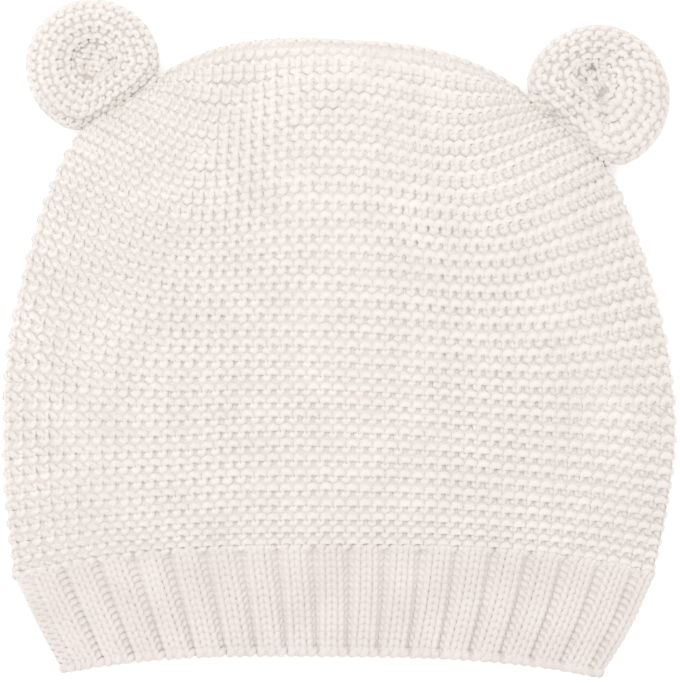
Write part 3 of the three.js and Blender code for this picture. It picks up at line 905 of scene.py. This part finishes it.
def ear_point(name, along, turn, inset):
    """Points of an ear: along its section from the sunken middle to the back, and turned about the
    gather. The edge is a circle cut by the crown's edge, its corner rounded by a power mean. The
    face's height is the section's, plus the filled middle, less the creases, which are bell curves
    of the turn that fade outwards, or the grooves where those are deeper, and less the lip."""
    ear = EARS[name]
    side = "left" if ear["side"] < 0 else "right"
    radius = EAR_RADIUS[name]

    def fold_at(row):
        height = column(CROWN, side + "Up", row) * CROWN_RISE
        return np.array([ear["side"] * column(CROWN, side, row) * HALF, height])

    line = unit(fold_at(1.0) - fold_at(EAR_BASE_START))
    away = np.array([-line[1], line[0]]) * -ear["side"]
    sideways = np.array([-away[1], away[0]])
    centre = fold_at(ear["station"]) + away * EAR_STAND
    gather = centre + (away * ear["outwards"] + sideways * ear["sideways"]) * radius
    towards = np.maximum(-np.cos(turn), 1e-6)
    limit = (EAR_STAND + EAR_LAP[name]) / towards
    reach = (radius**-EAR_CORNER + limit**-EAR_CORNER) ** (-1 / EAR_CORNER) - inset
    edge = centre + reach[..., None] * (np.cos(turn)[..., None] * away + np.sin(turn)[..., None] * sideways)
    out = column(EAR, "out", along)
    up = column(EAR, "up", along)
    crease = 0 * turn
    for angle, far, depth, spread in CREASES[name]:
        off = turn - np.radians(angle)
        off = np.arctan2(np.sin(off), np.cos(off)) / np.radians(spread)
        crease = crease + depth * np.exp(-off * off) * np.maximum(0, 1 - (out / far) ** 2)
    plan = gather + out[..., None] * (edge - gather)
    page = (plan - centre) / radius
    crease = np.maximum(CREASE_SHARE * crease, page_grooves(page, GROOVES[name]))
    if name in LIPS:
        lip = LIPS[name]
        beyond = lip["height"] + lip["rise"] * (page[..., 0] - lip["middle"]) ** 2 - page[..., 1]
        ease = np.clip(beyond / lip["width"] + 0.5, 0, 1)
        only_outside = np.clip((0.3 - page[..., 0]) / 0.5, 0, 1)
        crease = crease + lip["drop"] * up * ease**2 * (3 - 2 * ease) * only_outside
    front = along < FACE_END
    middle = np.maximum(0, 1 - out / SUNKEN_REACH) ** 2
    level = np.where(front, np.maximum(up + MIDDLE_RISE * middle - crease, EAR_LOWEST_UP), up)
    z = inset + level * (EAR_THICKNESS - 2 * inset)
    return np.concatenate([plan, z[..., None]], axis=-1)


def ear_lengths(name):
    """Length of the section from the middle, at many shares of the way, on the side away from the
    crown."""
    along = np.linspace(0, 1, 300)
    points = ear_point(name, along, 0 * along, YARN)
    gone = np.concatenate([[0], np.cumsum(np.linalg.norm(np.diff(points, axis=0), axis=-1))])
    return along, gone


def ear_rings(name):
    """The ear's garter rings. Each is a yarn that waves across its ring as the crown's does, with
    as many stitches as fit round it."""
    knit = EARS[name]
    along, gone = ear_lengths(name)
    last = gone[np.searchsorted(along, EAR_LAST_RING)]
    fewest = 7
    steps = 200
    turn = np.linspace(0, 2 * np.pi, steps, endpoint=False)
    parts = []
    for ring, middle in enumerate(np.arange(EAR_FIRST_RING, last, knit["ring"])):
        loop = ear_point(name, np.interp(middle, gone, along), turn, YARN)
        total = np.linalg.norm(np.roll(loop, -1, axis=0) - loop, axis=-1)
        stitches = max(fewest, int(round(total.sum() / knit["stitch"])))
        share = np.concatenate([[0], np.cumsum(total)]) / total.sum()
        count = np.arange(stitches * STITCH_POINTS) / STITCH_POINTS
        phase = 2 * np.pi * count
        shifted = count + looped(phase)
        slack = uneven(ring + 77, stitches, len(count))
        angle = np.interp(shifted / stitches % 1, share, np.linspace(0, 2 * np.pi, steps + 1))
        height = middle + knit["ring"] * (bowed(phase) + 0.05 * slack)
        position = np.interp(height, gone, along)
        inset = sunken(phase, EAR_FOOT_DEPTH)
        path, outward = laid(lambda at, depth: ear_point(name, at, angle, depth), position, inset)
        start, end = (np.interp(middle + side * knit["ring"], gone, along) for side in (-0.5, 0.5))
        way = ear_point(name, end, angle, YARN) - ear_point(name, start, angle, YARN)
        widening = filling(np.linalg.norm(way, axis=-1), phase)
        radius = YARN * 1.04 * (1 + 0.06 * slack)
        parts.append(yarn(path, outward, radius[None], True, widening[None]))
    return join(*parts, *ear_middle(name))


def ear_middle(name):
    """The gathered patch in an ear's middle: short straight rows of the same bows, laid over the
    sunken surface. A point at a distance from the gather has the height of the section there."""
    knit = EARS[name]
    along = np.linspace(0, 0.6, 200)
    out = column(EAR, "out", along)
    parts = []
    for number, beside in enumerate(np.arange(-1, 2) * knit["ring"] * 0.92):
        half = np.sqrt(EAR_MIDDLE**2 - min(abs(beside), EAR_MIDDLE * 0.8) ** 2)
        stitches = int(round(2 * half / knit["stitch"]))
        count = np.linspace(-stitches / 2, stitches / 2, stitches * STITCH_POINTS + 1)
        turn = 2 * np.pi * count + np.pi * number
        x = (count + looped(turn)) / stitches * 2 * half
        y = beside + knit["ring"] * bowed(turn)
        around = np.arctan2(y, x) + knit["rows"]
        radii = ear_point(name, FACE_END, around, 0) - ear_point(name, 0, around, 0)
        edge = np.linalg.norm(radii, axis=-1)
        position = np.interp(np.hypot(x, y) / edge, out, along)
        path = ear_point(name, position, around, sunken(turn, EAR_FOOT_DEPTH))
        upright = np.zeros_like(path)
        upright[:, 2] = 1
        parts.append(yarn(path[None], upright[None], YARN, False))
    return parts


def ear_seam(name):
    """The yarn that joins an ear to the crown: it winds along the foot of the ear, deep between the
    two, from one end of the cut side to the other."""
    base = np.arccos((EAR_STAND + EAR_LAP[name]) / EAR_RADIUS[name])
    steps = 320
    turn_points = 16
    swing = 0.03  # along the section
    turn = np.pi + np.linspace(-base, base, steps) * 0.95
    wind = 2 * np.pi * np.arange(steps) / turn_points
    along = FACE_END + swing * np.sin(wind)
    inset = -0.0002 + 0.0005 * np.cos(wind)
    path = ear_point(name, along, turn, inset)
    lower = ear_point(name, along + swing, turn, inset)
    return yarn(path[None], unit(path - lower)[None], YARN * 0.9, False)


def ear_cloth(name):
    """The ear's ground: a closed body on the same section, with a point at both middles."""
    rings, steps = 72, 72
    along = np.linspace(0.03, 0.97, rings)[:, None]
    turn = np.linspace(0, 2 * np.pi, steps, endpoint=False)[None, :]
    ways, gone = ear_lengths(name)
    way = np.interp(along, ways, gone) - EAR_FIRST_RING
    filled = EAR_GROUND_FILLED * np.maximum(0, 1 - column(EAR, "out", along) / SUNKEN_REACH)
    depth = ground_inset(way / EARS[name]["ring"] + RIDGE_MIDDLE) - EAR_GROUND_RISE - filled
    skin = ear_point(name, along, turn, depth)
    middles = np.stack([skin[0].mean(axis=0), skin[-1].mean(axis=0)])
    points = np.concatenate([skin.reshape(-1, 3), middles])
    quads = grid_faces(rings, steps, False, True)[:, ::-1]
    triangles = ring_caps(steps, (rings - 1) * steps, rings * steps)
    count = np.concatenate([quads.ravel(), triangles.ravel()])
    coords = np.stack([count % steps / 2, count // steps], axis=-1)
    return points, quads, triangles, coords


def make_ears():
    for name in EARS:
        cloth = make_piece(f"{name}_cloth", *ear_cloth(name), GROUND_PAINTED_SHADE)
        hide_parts(name)
        rings = make_piece(f"{name}_rings", *ear_rings(name), BODY_YARN)
        seam = make_piece(f"{name}_seam", *join(ear_seam(name)), BODY_YARN)
        for piece in (cloth, rings, seam):
            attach(piece, "root")


# The stage


def make_camera():
    """Straight down on the hat, from far away. At the folds' level the view is as high as the
    photograph, and the hat lies as far off its middle."""
    hat_pixels = 677
    view_pixels = 683
    view_height = HAT_WIDTH / hat_pixels * view_pixels
    height = 1.8
    data = bpy.data.cameras.new("camera")
    camera = bpy.data.objects.new("camera", data)
    SCENE.collection.objects.link(camera)
    level = FOLD_LEVEL * BODY_THICKNESS
    camera.location = (0.00013, -0.00112, height + level)
    data.lens = data.sensor_width * height / view_height
    SCENE.camera = camera


def make_stage():
    """A white floor under even light from everywhere and a wide soft lamp overhead."""
    finish = Finish("floor_paper", roughness=1.0, sheen=0.0)
    finish.shader.inputs["Emission Color"].default_value = (1, 1, 1, 1)
    finish.shader.inputs["Emission Strength"].default_value = 0.25
    finish.colour(finish.noise(40.0, 2.0), (0.0, (0.95, 0.95, 0.95)), (1.0, (0.97, 0.97, 0.97)))
    side = 1.5
    corners = np.array([[-side, -side, 0], [side, -side, 0], [side, side, 0], [-side, side, 0]])
    mesh = bpy.data.meshes.new("floor")
    mesh.from_pydata(corners.tolist(), [], [(0, 1, 2, 3)])
    mesh.materials.append(finish.material)
    floor = bpy.data.objects.new("floor", mesh)
    SCENE.collection.objects.link(floor)
    world = bpy.data.worlds.new("even_light")
    world.use_nodes = True
    background = world.node_tree.nodes["Background"].inputs
    background["Color"].default_value = (1.0, 0.995, 0.985, 1)
    background["Strength"].default_value = 0.90
    SCENE.world = world
    lamp = bpy.data.lights.new("overhead", "AREA")
    lamp.size = 0.8
    lamp.energy = 3.0
    holder = bpy.data.objects.new("overhead", lamp)
    holder.location = (-0.25, 0.25, 1.0)
    holder.rotation_euler = (-0.245, -0.245, 0)
    SCENE.collection.objects.link(holder)
    SCENE.view_settings.view_transform = "Standard"


make_camera()
make_crown()
make_band()
make_ears()
make_stage()
